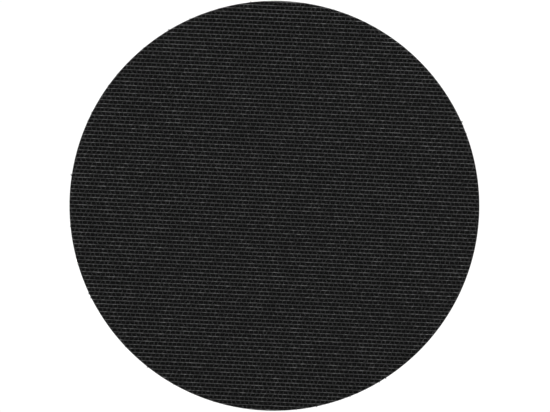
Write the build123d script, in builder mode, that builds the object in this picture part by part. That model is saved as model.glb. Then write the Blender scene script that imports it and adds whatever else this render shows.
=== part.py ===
from build123d import *
import math
import os

# A palm-held air orbital sander: a vane motor turns a balanced crank, whose offset bearings carry a freely
# spinning 150 mm sanding pad with a hook face.
#
# Units are millimetres. The origin is the centre of the pad's hook face, +Z runs up the pad's own axis, and
# the hose end points along +X. The motor's axis stands one orbit radius behind the pad's, towards -X.
# Turned pieces are given as (distance along the axis, radius) points.

# --- Driving dimensions -------------------------------------------------------------------------------
PAD_RADIUS = 75.0
ORBIT_RADIUS = 2.5
MOTOR_X = -ORBIT_RADIUS
EDGE = 0.25  # how far a plain machined or moulded edge is rounded
GAP = 0.15  # play between pieces that only lie beside each other

# Heights up the pad
HOOK_TOP = 2.0
FOAM_TOP = 12.0
PLATE_TOP = 14.6
HUB_TOP = 16.4
SEAT_TOP = 18.0  # where the spacer rests
SPACER_TOP = 18.8

# Crank and its two pad bearings
FLANGE_TOP = 22.8
CIRCLIP_BOTTOM = 24.2
LOWER_BEARING = 25.0
PAD_BEARING_WIDTH = 6.0
UPPER_BEARING = LOWER_BEARING + PAD_BEARING_WIDTH
PAD_BEARINGS_TOP = UPPER_BEARING + PAD_BEARING_WIDTH
PAD_BEARING_BORE = 6.0
PAD_BEARING_OUTER = 12.0
WEIGHT_TOP = 36.0
WEIGHT_RADIUS = 27.0
CRANK_TOP = 43.6
CRANK_RADIUS = 24.0

# Motor stack
FRONT_PLATE = (44.0, 54.0)
CYLINDER = (54.0, 71.0)
REAR_PLATE = (71.0, 79.0)
STACK_RADIUS = 31.0
CYLINDER_BORE = 25.0
BORE_OFFSET = 2.0  # the bore stands this far towards -X, so that the vanes seal on the hose side
ROTOR_RADIUS = 22.8
FRONT_BEARING = (44.2, 52.2, 7.5, 16.0)  # bottom, top, bore radius, outer radius
REAR_BEARING = (72.0, 79.0, 4.0, 11.0)
SHAFT_TOP = 80.2
CLIP_GROOVE = (79.05, 79.75)
VANES = 5

# Housing
BELL_BOTTOM = 20.0
BELL_RADIUS = 43.5
BELL_BORE = 39.6
BARREL_RADIUS = 35.0
RING_RADIUS = 33.5
RING_HEIGHTS = (38.0, 43.9)
CAVITY_TOP = 80.6
SHOULDER_BOTTOM, SHOULDER_TOP, SHOULDER_RADIUS = 77.6, 83.0, 27.5  # the cone that closes the barrel
GRIP_BOTTOM = 47.6
GRIP_TOP = 87.2
TAIL_END = 66.0
TAIL_HALF_WIDTH = 27.0
TAIL_BOTTOM, TAIL_TOP = 47.0, 77.0
WRENCH_SLOT_HALF = 14.5
WRENCH_SLOT_TOP = 25.4

# Air line, all on one level
LINE_Z = 62.0
INLET_Y, EXHAUST_Y = -13.0, 13.0
INLET_THREAD = 6.2  # mean radius of the 1/4 inch pipe thread
INLET_END = 77.0
SEAT_X = 52.0
STEM_X = 45.0
DIAL_X = 36.0
MUFFLER_RADIUS = 11.0
MUFFLER_END = 77.0

# Throttle lever
PIVOT_X, PIVOT_Z = 58.0, 81.5
STEM_TOP = 80.3
PIN_RADIUS = 1.5
LEVER_HALF_WIDTH = 18.0
LEVER_THICKNESS = 2.6
LUG_INNER, LUG_OUTER, LUG_RADIUS = 18.8, 24.0, 5.5


# --- Shared helpers -----------------------------------------------------------------------------------
def upright(x, y=0.0):
    """The section plane of anything turned about an upright line: its x is the height, its y the radius."""
    return Plane(origin=(x, y, 0), x_dir=(0, 0, 1), z_dir=(0, 1, 0))


def lengthwise(y, z=LINE_Z):
    """The section plane of anything turned about a line along X."""
    return Plane(origin=(0, y, z), x_dir=(1, 0, 0), z_dir=(0, -1, 0))


def crosswise(x, z=LINE_Z):
    """The section plane of anything turned about a line along Y."""
    return Plane(origin=(x, 0, z), x_dir=(0, 1, 0), z_dir=(1, 0, 0))


PAD_LINE, MOTOR_LINE = upright(0), upright(MOTOR_X)
STANDING = (Align.CENTER, Align.CENTER, Align.MIN)  # a cylinder or box that rises from its place
HANGING = (Align.CENTER, Align.CENTER, Align.MAX)


def outline(line, points, soften=0.0):
    """The closed outline through the points, with each corner off the turning axis rounded by soften."""
    with BuildSketch(line, mode=Mode.PRIVATE) as flat:
        with BuildLine():
            Polyline(*points, close=True)
        make_face()
        if soften:
            fillet([v for v in flat.vertices() if v.Y > soften], soften)
    return flat.sketch


def lathe(line, points, soften=0.0, mode=Mode.ADD):
    """Turns an outline a full circle about its line, in the open part."""
    revolve(outline(line, points, soften), axis=Axis(line.origin, line.x_dir), mode=mode)


def washer(bottom, top, inner, outer):
    """The outline of a plain ring."""
    return [(bottom, inner), (top, inner), (top, outer), (bottom, outer)]


def o_ring(name, line, along, radius, thickness):
    """A round seal lying about a line."""
    with BuildPart() as seal:
        with BuildSketch(line):
            with Locations((along, radius)):
                Circle(thickness / 2)
        revolve(axis=Axis(line.origin, line.x_dir))
    save(name, seal.part)


def thread_points(start, end, radius, pitch, depth):
    """The zigzag of a vee thread's outline, from start to end, drawn as stacked grooves."""
    turns = int((end - start) / pitch)
    zigzag = [(start, radius - depth)]
    for turn in range(turns):
        at = start + pitch * turn
        zigzag += [(at + 0.5 * pitch, radius), (at + pitch, radius - depth)]
    return zigzag


def save(name, shape):
    """Writes one piece to its own file."""
    shape.label = name
    export_step(shape, f"parts/{name}.step")


# --- Sanding pad --------------------------------------------------------------------------------------
RIVETS, RIVET_CIRCLE, RIVET_RADIUS = 8, 24.0, 2.0
HUB_RADIUS = 31.0
STUD_RADIUS, STUD_PITCH = 3.97, 1.058  # 5/16 inch, 24 to the inch
STUD_TOP = 33.0


def hook_sheet():
    """The hook tape bonded under the foam: ground cloth with its nap of hooks."""
    with BuildPart() as sheet:
        lathe(PAD_LINE, [(0, 0), (HOOK_TOP, 0), (HOOK_TOP, PAD_RADIUS), (0, PAD_RADIUS)])
    save("pad_hook_sheet", sheet.part)


def foam():
    """The moulded urethane cushion, straight at its rim and then tapered in to the plate."""
    rim_top = 6.2
    with BuildPart() as cushion:
        lathe(
            PAD_LINE,
            [
                (HOOK_TOP, 0),
                (HOOK_TOP, PAD_RADIUS),
                (rim_top, PAD_RADIUS),
                (FOAM_TOP - 1.0, 69.0),
                (FOAM_TOP, 67.4),
                (FOAM_TOP, 0),
            ],
        )
        rounds = cushion.edges().filter_by(GeomType.CIRCLE)
        fillet(rounds.filter_by_position(Axis.Z, rim_top - 0.1, rim_top + 0.1), 2.4)
        lathe(PAD_LINE, [(9.0, 0), (FOAM_TOP, 0), (FOAM_TOP, 11.6), (9.0, 11.6)], mode=Mode.SUBTRACT)
    save("pad_foam", cushion.part)


def backing_plate():
    """The woven glass plate that stiffens the pad, holed for the stud and counterbored under each rivet."""
    with BuildPart() as plate:
        lathe(PAD_LINE, [(FOAM_TOP, 8.2), (PLATE_TOP, 8.2), (PLATE_TOP, 66.0), (FOAM_TOP, 67.0)], EDGE)
        with PolarLocations(RIVET_CIRCLE, RIVETS):
            with Locations((0, 0, PLATE_TOP)):
                Hole(RIVET_RADIUS + 0.05)
        with Locations(Plane.XY.offset(FOAM_TOP - 0.01)):
            with PolarLocations(RIVET_CIRCLE, RIVETS):
                Cylinder(3.4, 1.1, align=STANDING, mode=Mode.SUBTRACT)
    save("pad_backing_plate", plate.part)


def hub_plate():
    """The pressed steel hub: a riveted flange dished up to the seat that meets the spindle."""
    with BuildPart() as hub:
        lathe(
            PAD_LINE,
            [
                (PLATE_TOP, STUD_RADIUS + 0.1),
                (SEAT_TOP, STUD_RADIUS + 0.1),
                (SEAT_TOP, 13.0),
                (HUB_TOP, 16.5),
                (HUB_TOP, HUB_RADIUS),
                (PLATE_TOP, HUB_RADIUS),
            ],
            0.4,
        )
        with PolarLocations(RIVET_CIRCLE, RIVETS):
            with Locations((0, 0, HUB_TOP)):
                Hole(RIVET_RADIUS + 0.05)
    save("pad_hub_plate", hub.part)


def stud():
    """The threaded stud, with a knurled head buried under the hub."""
    thread = thread_points(19.4, STUD_TOP - 1.2, STUD_RADIUS, STUD_PITCH, 0.55)
    with BuildPart() as screw:
        lathe(
            PAD_LINE,
            [(9.4, 0), (9.4, 11.0), (FOAM_TOP, 11.0), (FOAM_TOP, 8.0), (PLATE_TOP, 8.0)]
            + [(PLATE_TOP, STUD_RADIUS), (19.4, STUD_RADIUS)]
            + thread
            + [(STUD_TOP, 2.8), (STUD_TOP, 0)],
        )
    save("pad_stud", screw.part)


def rivets():
    """The ring of semi-tubular rivets, domed on top and turned out below."""
    with BuildPart() as ring:
        with PolarLocations(RIVET_CIRCLE, RIVETS):
            with Locations((0, 0, HUB_TOP)):
                Cylinder(3.6, 1.3, align=STANDING)
        tops = ring.edges().filter_by(GeomType.CIRCLE).group_by(Axis.Z)[-1]
        fillet(tops, 1.0)
        with PolarLocations(RIVET_CIRCLE, RIVETS):
            with Locations((0, 0, HUB_TOP)):
                Cylinder(RIVET_RADIUS, HUB_TOP - FOAM_TOP - 0.2, align=HANGING)
            with Locations((0, 0, FOAM_TOP + 0.15)):
                Cylinder(3.2, 0.85, align=STANDING)
    save("pad_rivets", ring.part)


def pad_spacer():
    """The thin washer that sets the pad's height on the spindle."""
    with BuildPart() as shim:
        lathe(PAD_LINE, washer(SEAT_TOP, SPACER_TOP, STUD_RADIUS + 0.3, 12.5), 0.1)
    save("pad_spacer", shim.part)


def sanding_pad():
    hook_sheet()
    foam()
    backing_plate()
    hub_plate()
    stud()
    rivets()
    pad_spacer()


# --- Spindle and its bearings -------------------------------------------------------------------------
FLATS = 24.0  # across the spindle's two wrench flats


def raced_rings(line, bottoms, width, inside, outside, pitch, ball):
    """Rings of one size about a line, each with the balls' race turned into it."""
    with BuildPart() as rings:
        for bottom in bottoms:
            lathe(line, washer(bottom, bottom + width, inside, outside), EDGE)
            with BuildSketch(line, mode=Mode.PRIVATE) as race:
                with Locations((bottom + width / 2, pitch)):
                    Circle(1.03 * ball)
            revolve(race.sketch, axis=Axis(line.origin, line.x_dir), mode=Mode.SUBTRACT)
    return rings.part


def ball_bearing(names, x, bottoms, width, bore, outer, ball, count):
    """The three moving parts of one bearing, or of a row of like bearings from the listed bottoms.

    The sizes are radii. The names are those of the inner ring, the outer ring, and the cage with its balls.
    """
    pitch = (bore + outer) / 2
    line = upright(x)
    middles = [bottom + width / 2 for bottom in bottoms]
    with BuildPart() as caged_balls:
        for height in middles:
            lathe(line, washer(height - 1.35 * ball, height + 1.35 * ball, pitch - 0.3, pitch + 0.3))
        for height in middles:
            with Locations((x, 0, height)):
                with PolarLocations(pitch, count):
                    Cylinder(1.06 * ball, 2.0, rotation=(0, 90, 0), mode=Mode.SUBTRACT)
                    Sphere(ball)
    save(names[0], raced_rings(line, bottoms, width, bore, pitch - 0.5 * ball, pitch, ball))
    save(names[1], raced_rings(line, bottoms, width, pitch + 0.5 * ball, outer, pitch, ball))
    save(names[2], caged_balls.part)


def spindle():
    """The spindle, threaded below for the pad's stud, with a flange that has two wrench flats."""
    flange_radius = 14.0
    with BuildPart() as arbor:
        lathe(
            PAD_LINE,
            [
                (SPACER_TOP, 0),
                (SPACER_TOP, flange_radius),
                (FLANGE_TOP, flange_radius),
                (FLANGE_TOP, 7.6),
                (LOWER_BEARING, 7.6),
                (LOWER_BEARING, PAD_BEARING_BORE),
                (PAD_BEARINGS_TOP - 0.1, PAD_BEARING_BORE),
                (PAD_BEARINGS_TOP - 0.1, 0),
            ],
            EDGE,
        )
        with Locations((0, 0, SPACER_TOP)):
            for side in (1, -1):
                with Locations((0, side * (FLATS / 2 + 5), (FLANGE_TOP - SPACER_TOP) / 2)):
                    Box(40, 10, FLANGE_TOP - SPACER_TOP + 0.02, mode=Mode.SUBTRACT)
        lathe(
            PAD_LINE,
            [(SPACER_TOP, 0), (34.0, 0), (34.0, STUD_RADIUS + 0.12), (SPACER_TOP, STUD_RADIUS + 0.12)],
            mode=Mode.SUBTRACT,
        )
        lathe(PAD_LINE, [(34.0, 0), (38.0, 0), (38.0, 2.5), (34.0, 2.5)], mode=Mode.SUBTRACT)
    save("spindle", arbor.part)


def spindle_screw():
    """The socket screw that clamps the upper bearing on the spindle."""
    with BuildPart() as screw:
        lathe(
            PAD_LINE,
            [(34.2, 0), (34.2, 2.4), (37.9, 2.4), (37.9, 4.4), (40.6, 4.4), (40.6, 0)],
            EDGE,
        )
        with BuildSketch(Plane.XY.offset(40.6)):
            RegularPolygon(2.3, 6)
        extrude(amount=-1.8, mode=Mode.SUBTRACT)
    save("spindle_screw", screw.part)


def spindle_washer():
    with BuildPart() as disc:
        lathe(PAD_LINE, washer(PAD_BEARINGS_TOP, 37.8, 2.6, 7.2), 0.1)
    save("spindle_washer", disc.part)


def spindle_circlip():
    """The open ring that holds both pad bearings up in the crank."""
    with BuildPart() as clip:
        lathe(PAD_LINE, washer(CIRCLIP_BOTTOM, LOWER_BEARING, 10.2, 12.55), 0.1)
        with Locations((11.4, 0, CIRCLIP_BOTTOM)):
            Box(6, 4, 4, mode=Mode.SUBTRACT)
    save("spindle_circlip", clip.part)


def spindle_group():
    spindle()
    spindle_screw()
    spindle_washer()
    spindle_circlip()
    ball_bearing(
        ("pad_bearing_inner_rings", "pad_bearing_outer_rings", "pad_bearing_cages"),
        x=0,
        bottoms=(LOWER_BEARING, UPPER_BEARING),
        width=PAD_BEARING_WIDTH,
        bore=PAD_BEARING_BORE,
        outer=PAD_BEARING_OUTER,
        ball=1.6,
        count=11,
    )


# --- Crank, rotor and motor ---------------------------------------------------------------------------
def crank():
    """The balanced crank: the motor shaft above, the offset bearing pocket and the counterweight below."""
    with BuildPart() as shaft:
        lathe(
            MOTOR_LINE,
            [
                (CIRCLIP_BOTTOM - 1.0, 0),
                (CIRCLIP_BOTTOM - 1.0, 18.6),
                (WEIGHT_TOP, 18.6),
                (WEIGHT_TOP, CRANK_RADIUS),
                (CRANK_TOP, CRANK_RADIUS),
                (CRANK_TOP, 10.0),
                (FRONT_BEARING[0], 10.0),
                (FRONT_BEARING[0], FRONT_BEARING[2]),
                (FRONT_BEARING[1] + 0.2, FRONT_BEARING[2]),
                (FRONT_BEARING[1] + 0.2, 6.0),
                (REAR_PLATE[0] - 0.1, 6.0),
                (REAR_PLATE[0] - 0.1, REAR_BEARING[2]),
                (SHAFT_TOP, REAR_BEARING[2]),
                (SHAFT_TOP, 0),
            ],
            EDGE,
        )
        with BuildSketch(Plane.XY.offset(LOWER_BEARING + 0.6)):
            with BuildLine():
                middle, spoke = Vector(MOTOR_X, 0), Vector(WEIGHT_RADIUS, 0)
                rim = [middle + spoke.rotate(Axis.Z, angle) for angle in (130, 180, 230)]
                ThreePointArc(*rim)
                Polyline(rim[0], (MOTOR_X + 4, 17.5), (MOTOR_X + 4, -17.5), rim[2])
            make_face()
        extrude(amount=WEIGHT_TOP - LOWER_BEARING - 0.6)
        lathe(
            PAD_LINE,
            [
                (CIRCLIP_BOTTOM - 2.0, 0),
                (CIRCLIP_BOTTOM - 2.0, PAD_BEARING_OUTER),
                (CIRCLIP_BOTTOM - 0.05, PAD_BEARING_OUTER),
                (CIRCLIP_BOTTOM - 0.05, 12.7),
                (LOWER_BEARING, 12.7),
                (LOWER_BEARING, PAD_BEARING_OUTER),
                (PAD_BEARINGS_TOP, PAD_BEARING_OUTER),
                (PAD_BEARINGS_TOP, 9.4),
                (41.6, 9.4),
                (41.6, 0),
            ],
            mode=Mode.SUBTRACT,
        )
        lathe(MOTOR_LINE, washer(*CLIP_GROOVE, 3.6, 5.0), mode=Mode.SUBTRACT)
        with Locations((MOTOR_X, 6.0, 62.5)):
            Box(3.0, 3.2, 10.0, mode=Mode.SUBTRACT)
    save("balanced_crank", shaft.part)


def rotor_key():
    """The square key between shaft and rotor."""
    with BuildPart() as key:
        with Locations((MOTOR_X, 6.05, 62.5)):
            Box(2.96, 3.1, 9.9)
    save("rotor_key", key.part)


def rotor():
    """The slotted rotor, keyed on the shaft."""
    bottom, top = CYLINDER[0] + 0.15, CYLINDER[1] - 0.15
    with BuildPart() as drum:
        lathe(MOTOR_LINE, washer(bottom, top, 6.03, ROTOR_RADIUS), EDGE)
        with Locations((MOTOR_X, 0, (bottom + top) / 2)):
            with PolarLocations(18.6, VANES, start_angle=36):
                Box(9.4, 1.7, top - bottom + 1, mode=Mode.SUBTRACT)
            with Locations((0, 6.0, 0)):
                Box(3.0, 3.4, top - bottom + 1, mode=Mode.SUBTRACT)
    save("rotor", drum.part)


def vanes():
    """The motor's vanes, lying back in their slots."""
    height = CYLINDER[1] - CYLINDER[0] - 0.4
    with BuildPart() as blades:
        with Locations((MOTOR_X, 0, sum(CYLINDER) / 2)):
            with PolarLocations(18.4, VANES, start_angle=36):
                Box(8.2, 1.5, height)
    save("rotor_vanes", blades.part)


def shaft_circlip():
    with BuildPart() as clip:
        lathe(MOTOR_LINE, washer(*CLIP_GROOVE, 3.65, 6.2), 0.1)
        with Locations((MOTOR_X + 5, 0, CLIP_GROOVE[0])):
            Box(5, 3, 4, mode=Mode.SUBTRACT)
    save("shaft_circlip", clip.part)


PORT_RADIUS = 4.0
DOWEL_RADIUS, DOWEL_CIRCLE, DOWEL_ANGLES = 1.5, 28.2, (60, -60)


def dowel_places():
    """Where the two stack pins stand."""
    return [
        (MOTOR_X + DOWEL_CIRCLE * math.cos(math.radians(a)), DOWEL_CIRCLE * math.sin(math.radians(a)))
        for a in DOWEL_ANGLES
    ]


def cylinder():
    """The motor's cylinder, with its bore set off centre and its ports towards the hose end."""
    with BuildPart() as barrel:
        with Locations((MOTOR_X, 0, sum(CYLINDER) / 2)):
            Cylinder(STACK_RADIUS, CYLINDER[1] - CYLINDER[0])
        with Locations((MOTOR_X - BORE_OFFSET, 0, sum(CYLINDER) / 2)):
            Cylinder(CYLINDER_BORE, CYLINDER[1] - CYLINDER[0] + 1, mode=Mode.SUBTRACT)
        for y in (INLET_Y, EXHAUST_Y):
            with Locations((22.0, y, LINE_Z)):
                Cylinder(PORT_RADIUS, 20, rotation=(0, 90, 0), mode=Mode.SUBTRACT)
        with Locations(*[(x, y, sum(CYLINDER) / 2) for x, y in dowel_places()]):
            Cylinder(DOWEL_RADIUS + 0.02, CYLINDER[1] - CYLINDER[0] + 1, mode=Mode.SUBTRACT)
    save("motor_cylinder", barrel.part)


def end_plates():
    """The plates that close the cylinder and hold the motor's bearings."""
    with BuildPart() as front:
        lathe(MOTOR_LINE, washer(*FRONT_PLATE, 9.0, STACK_RADIUS), EDGE)
        lathe(
            MOTOR_LINE,
            washer(FRONT_PLATE[0] - 1, FRONT_BEARING[1], 8.0, FRONT_BEARING[3]),
            mode=Mode.SUBTRACT,
        )
        with Locations(*[(x, y, FRONT_PLATE[1] - 1.5) for x, y in dowel_places()]):
            Cylinder(DOWEL_RADIUS + 0.02, 5, mode=Mode.SUBTRACT)
    save("front_end_plate", front.part)
    with BuildPart() as rear:
        lathe(MOTOR_LINE, washer(*REAR_PLATE, 5.0, STACK_RADIUS), EDGE)
        lathe(
            MOTOR_LINE,
            washer(REAR_BEARING[0], REAR_PLATE[1] + 1, 4.0, REAR_BEARING[3]),
            mode=Mode.SUBTRACT,
        )
        with Locations(*[(x, y, REAR_PLATE[0] + 1.5) for x, y in dowel_places()]):
            Cylinder(DOWEL_RADIUS + 0.02, 5, mode=Mode.SUBTRACT)
    save("rear_end_plate", rear.part)
    with BuildPart() as pins:
        with Locations(*[(x, y, sum(CYLINDER) / 2) for x, y in dowel_places()]):
            Cylinder(DOWEL_RADIUS, CYLINDER[1] - CYLINDER[0] + 6)
    save("stack_dowels", pins.part)


def motor():
    crank()
    rotor_key()
    rotor()
    vanes()
    shaft_circlip()
    cylinder()
    end_plates()
    ball_bearing(
        ("front_bearing_inner_ring", "front_bearing_outer_ring", "front_bearing_cage"),
        x=MOTOR_X,
        bottoms=(FRONT_BEARING[0],),
        width=FRONT_BEARING[1] - FRONT_BEARING[0],
        bore=FRONT_BEARING[2],
        outer=FRONT_BEARING[3],
        ball=2.2,
        count=9,
    )
    ball_bearing(
        ("rear_bearing_inner_ring", "rear_bearing_outer_ring", "rear_bearing_cage"),
        x=MOTOR_X,
        bottoms=(REAR_BEARING[0],),
        width=REAR_BEARING[1] - REAR_BEARING[0],
        bore=REAR_BEARING[2],
        outer=REAR_BEARING[3],
        ball=1.9,
        count=7,
    )


# --- Housing, grip and skirt --------------------------------------------------------------------------
def tail_block(play=0.0):
    """The block that carries the air line, grown by play on every side."""
    with BuildPart(mode=Mode.PRIVATE) as block:
        with Locations((0, 0, (TAIL_BOTTOM + TAIL_TOP) / 2)):
            Box(
                TAIL_END + play,
                2 * (TAIL_HALF_WIDTH + play),
                TAIL_TOP - TAIL_BOTTOM + 2 * play,
                align=(Align.MIN, Align.CENTER, Align.CENTER),
            )
        far_corners = block.edges().filter_by(Axis.Z).group_by(Axis.X)[-1]
        fillet(far_corners, 9)
        fillet(block.faces().sort_by(Axis.Z)[-1].edges().filter_by_position(Axis.X, 1, 90), 5)
        fillet(block.faces().sort_by(Axis.Z)[0].edges().filter_by_position(Axis.X, 1, 90), 7)
    return block.part


def motor_bore():
    """The bore from below: bell, ring thread, motor stack, and a pocket over the shaft's end."""
    return MOTOR_LINE, [
        (BELL_BOTTOM - 1, 0),
        (BELL_BOTTOM - 1, BELL_BORE),
        (RING_HEIGHTS[0] - 2.0, BELL_BORE),
        (RING_HEIGHTS[0], RING_RADIUS + 0.02),
        (FRONT_PLATE[0], RING_RADIUS + 0.02),
        (FRONT_PLATE[0], STACK_RADIUS + 0.03),
        (REAR_PLATE[1] + 0.1, STACK_RADIUS + 0.03),
        (REAR_PLATE[1] + 0.1, 14.0),
        (CAVITY_TOP, 14.0),
        (CAVITY_TOP, 0),
    ]


def inlet_bore():
    """The way in for the air: bushing thread, valve chamber, seat step, and passage to the motor."""
    return lengthwise(INLET_Y), [
        (18.0, 0),
        (18.0, PORT_RADIUS),
        (41.0, PORT_RADIUS),
        (41.0, 6.6),
        (SEAT_X - 2.0, 6.6),
        (SEAT_X - 2.0, 8.6),
        (TAIL_END - 6.5, 8.6),
        (TAIL_END - 6.5, 9.5),
        (TAIL_END + 1, 9.5),
        (TAIL_END + 1, 0),
    ]


def exhaust_bore():
    """The way out: a port from the motor, opened out for the muffler."""
    return lengthwise(EXHAUST_Y), [
        (18.0, 0),
        (18.0, 6.0),
        (42.0, 6.0),
        (44.0, MUFFLER_RADIUS + 0.05),
        (TAIL_END + 1, MUFFLER_RADIUS + 0.05),
        (TAIL_END + 1, 0),
    ]


def control_bores():
    """The bores for the valve stem's bush, the speed dial, its stop screw, and the lever's pin."""
    stem = [(LINE_Z, 0), (LINE_Z, 3.2), (67.5, 3.2), (67.5, 4.6), (TAIL_TOP + 1, 4.6), (TAIL_TOP + 1, 0)]
    dial = [(-TAIL_HALF_WIDTH - 1, 0), (-TAIL_HALF_WIDTH - 1, 5.05), (-6.5, 5.05), (-6.5, 0)]
    stop = [(LINE_Z + 3, 0), (LINE_Z + 3, 1.55), (TAIL_TOP + 1, 1.55), (TAIL_TOP + 1, 0)]
    pin = [(-30, 0), (-30, PIN_RADIUS), (30, PIN_RADIUS), (30, 0)]
    return [
        (upright(STEM_X, INLET_Y), stem),
        (crosswise(DIAL_X), dial),
        (upright(DIAL_X, STOP_SCREW_Y), stop),
        (crosswise(PIVOT_X, PIVOT_Z), pin),
    ]


def housing():
    """The moulded body: bell, barrel and tail in one, with the motor bore, air line and lever lugs."""
    with BuildPart() as body:
        with BuildSketch(MOTOR_LINE):
            with BuildLine():
                Polyline((SHOULDER_TOP, 0), (BELL_BOTTOM, 0), (BELL_BOTTOM, BELL_RADIUS - 0.8))
                Line((BELL_BOTTOM, BELL_RADIUS - 0.8), (BELL_BOTTOM + 0.8, BELL_RADIUS))
                Line((BELL_BOTTOM + 0.8, BELL_RADIUS), (32.5, BELL_RADIUS))
                Spline(
                    (32.5, BELL_RADIUS),
                    (40.5, 40.2),
                    (GRIP_BOTTOM - 0.2, 36.4),
                    tangents=((1, 0), (1, -0.35)),
                )
                Polyline(
                    (GRIP_BOTTOM - 0.2, 36.4),
                    (GRIP_BOTTOM - 0.2, BARREL_RADIUS),
                    (SHOULDER_BOTTOM, BARREL_RADIUS),
                    (SHOULDER_TOP, SHOULDER_RADIUS),
                    (SHOULDER_TOP, 0),
                )
            make_face()
        revolve(axis=Axis(MOTOR_LINE.origin, MOTOR_LINE.x_dir))
        add(tail_block())
        with BuildSketch(Plane.XZ.offset(-LUG_OUTER)):
            with BuildLine():
                front, back = PIVOT_X - LUG_RADIUS, PIVOT_X + LUG_RADIUS
                Polyline((front, PIVOT_Z), (front, TAIL_TOP - 6), (back, TAIL_TOP - 6), (back, PIVOT_Z))
                RadiusArc((back, PIVOT_Z), (front, PIVOT_Z), -LUG_RADIUS)
            make_face()
        extrude(amount=2 * LUG_OUTER)
        with Locations((PIVOT_X, 0, TAIL_TOP + 10)):
            Box(20, 2 * LUG_INNER, 20, mode=Mode.SUBTRACT)
        # wrench slot through the nose side of the bell
        with Locations((-BELL_RADIUS, 0, BELL_BOTTOM)):
            Box(20, 2 * WRENCH_SLOT_HALF, 2 * (WRENCH_SLOT_TOP - BELL_BOTTOM), mode=Mode.SUBTRACT)
        for line, points in [motor_bore(), inlet_bore(), exhaust_bore(), *control_bores()]:
            lathe(line, points, mode=Mode.SUBTRACT)
    save("motor_housing", body.part)


CROWN_START, CROWN_SLOPE = (84.5, 27.0), (0.2, -1)  # where the grip's round top starts, and its slope there


def palm_grip():
    """The soft cap moulded over the barrel, ribbed where the fingers close, open at the tail."""
    with BuildPart() as cap:
        with BuildSketch(MOTOR_LINE):
            with BuildLine():
                inner = BARREL_RADIUS + 0.02
                Polyline(
                    (GRIP_TOP, 0),
                    (SHOULDER_TOP + 0.02, 0),
                    (SHOULDER_TOP + 0.02, SHOULDER_RADIUS),
                    (SHOULDER_BOTTOM + 0.02, inner),
                    (GRIP_BOTTOM, inner),
                    (GRIP_BOTTOM, 38.2),
                    (GRIP_BOTTOM + 0.9, 39.1),
                )
                Spline(
                    (GRIP_BOTTOM + 0.9, 39.1),
                    (52.5, 39.3),
                    (59.0, 37.9),
                    (67.0, 39.3),
                    (73.5, 39.7),
                    (80.6, 36.4),
                    CROWN_START,
                    tangents=((1, 0.25), CROWN_SLOPE),
                )
                Spline(CROWN_START, (GRIP_TOP, 0), tangents=(CROWN_SLOPE, (0, -1)))
            make_face()
        revolve(axis=Axis(MOTOR_LINE.origin, MOTOR_LINE.x_dir))
        for height in [54.6 + 2.6 * step for step in range(5)]:
            with BuildSketch(MOTOR_LINE, mode=Mode.PRIVATE) as groove:
                with Locations((height, 39.3)):
                    Circle(1.9)
            revolve(groove.sketch, axis=Axis(MOTOR_LINE.origin, MOTOR_LINE.x_dir), mode=Mode.SUBTRACT)
        add(tail_block(GAP), mode=Mode.SUBTRACT)
    save("palm_grip", cap.part)


def skirt():
    """The rubber ring pushed over the bell's lip, which closes the gap to the pad, with the wrench slot."""
    with BuildPart() as ring:
        lathe(
            MOTOR_LINE,
            [
                (16.8, BELL_RADIUS - 1.2),
                (BELL_BOTTOM - 0.1, BELL_RADIUS - 1.6),
                (BELL_BOTTOM - 0.1, BELL_RADIUS + 0.05),
                (28.4, BELL_RADIUS + 0.05),
                (28.4, BELL_RADIUS + 1.9),
                (24.5, BELL_RADIUS + 2.6),
                (20.0, BELL_RADIUS + 3.6),
                (16.8, BELL_RADIUS + 6.4),
            ],
            0.5,
        )
        with Locations((-BELL_RADIUS - 2.5, 0, 14.0)):
            Box(24, 2 * WRENCH_SLOT_HALF, 2 * (WRENCH_SLOT_TOP - 14.0), mode=Mode.SUBTRACT)
    save("pad_skirt", ring.part)


def lock_ring():
    """The ring screwed up into the bell to hold the motor stack, with four spanner notches."""
    with BuildPart() as ring:
        lathe(MOTOR_LINE, washer(*RING_HEIGHTS, 27.5, RING_RADIUS), EDGE)
        with Locations((MOTOR_X, 0, RING_HEIGHTS[0])):
            with PolarLocations(28.4, 4, start_angle=45):
                Box(4.4, 5.0, 4.4, mode=Mode.SUBTRACT)
    save("lock_ring", ring.part)


# --- Air line: inlet, valve, dial and muffler ---------------------------------------------------------
STOP_SCREW_Y = -22.0
HEX_FLATS = 21.0


def inlet_bushing():
    """The hose bushing: a thread into the tail, a hexagon, and the female pipe thread."""
    with BuildPart() as bushing:
        lathe(
            lengthwise(INLET_Y),
            [
                (TAIL_END - 6.4, INLET_THREAD),
                (INLET_END, INLET_THREAD),
                (INLET_END, 9.9),
                (TAIL_END + 0.6, 9.9),
                (TAIL_END + 0.6, 9.45),
                (TAIL_END - 6.4, 9.45),
            ],
            0.2,
        )
        with BuildSketch(Plane.YZ.offset(TAIL_END + 1.2)):
            with Locations((INLET_Y, LINE_Z)):
                RegularPolygon(HEX_FLATS / 2, 6, major_radius=False, rotation=30)
                Circle(INLET_THREAD + 0.5, mode=Mode.SUBTRACT)
        extrude(amount=7.0)
        lathe(
            lengthwise(INLET_Y),
            [
                (TAIL_END + 1.0, HEX_FLATS / 2 - 0.1),
                (TAIL_END + 1.0, 20.0),
                (TAIL_END + 2.8, 20.0),
            ],
            mode=Mode.SUBTRACT,
        )
        lathe(
            lengthwise(INLET_Y),
            [
                (TAIL_END + 8.4, HEX_FLATS / 2 - 0.1),
                (TAIL_END + 8.4, 20.0),
                (TAIL_END + 6.6, 20.0),
            ],
            mode=Mode.SUBTRACT,
        )
    save("inlet_bushing", bushing.part)
    o_ring("inlet_seal", lengthwise(INLET_Y), TAIL_END + 0.6, 10.35, 0.8)


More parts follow.
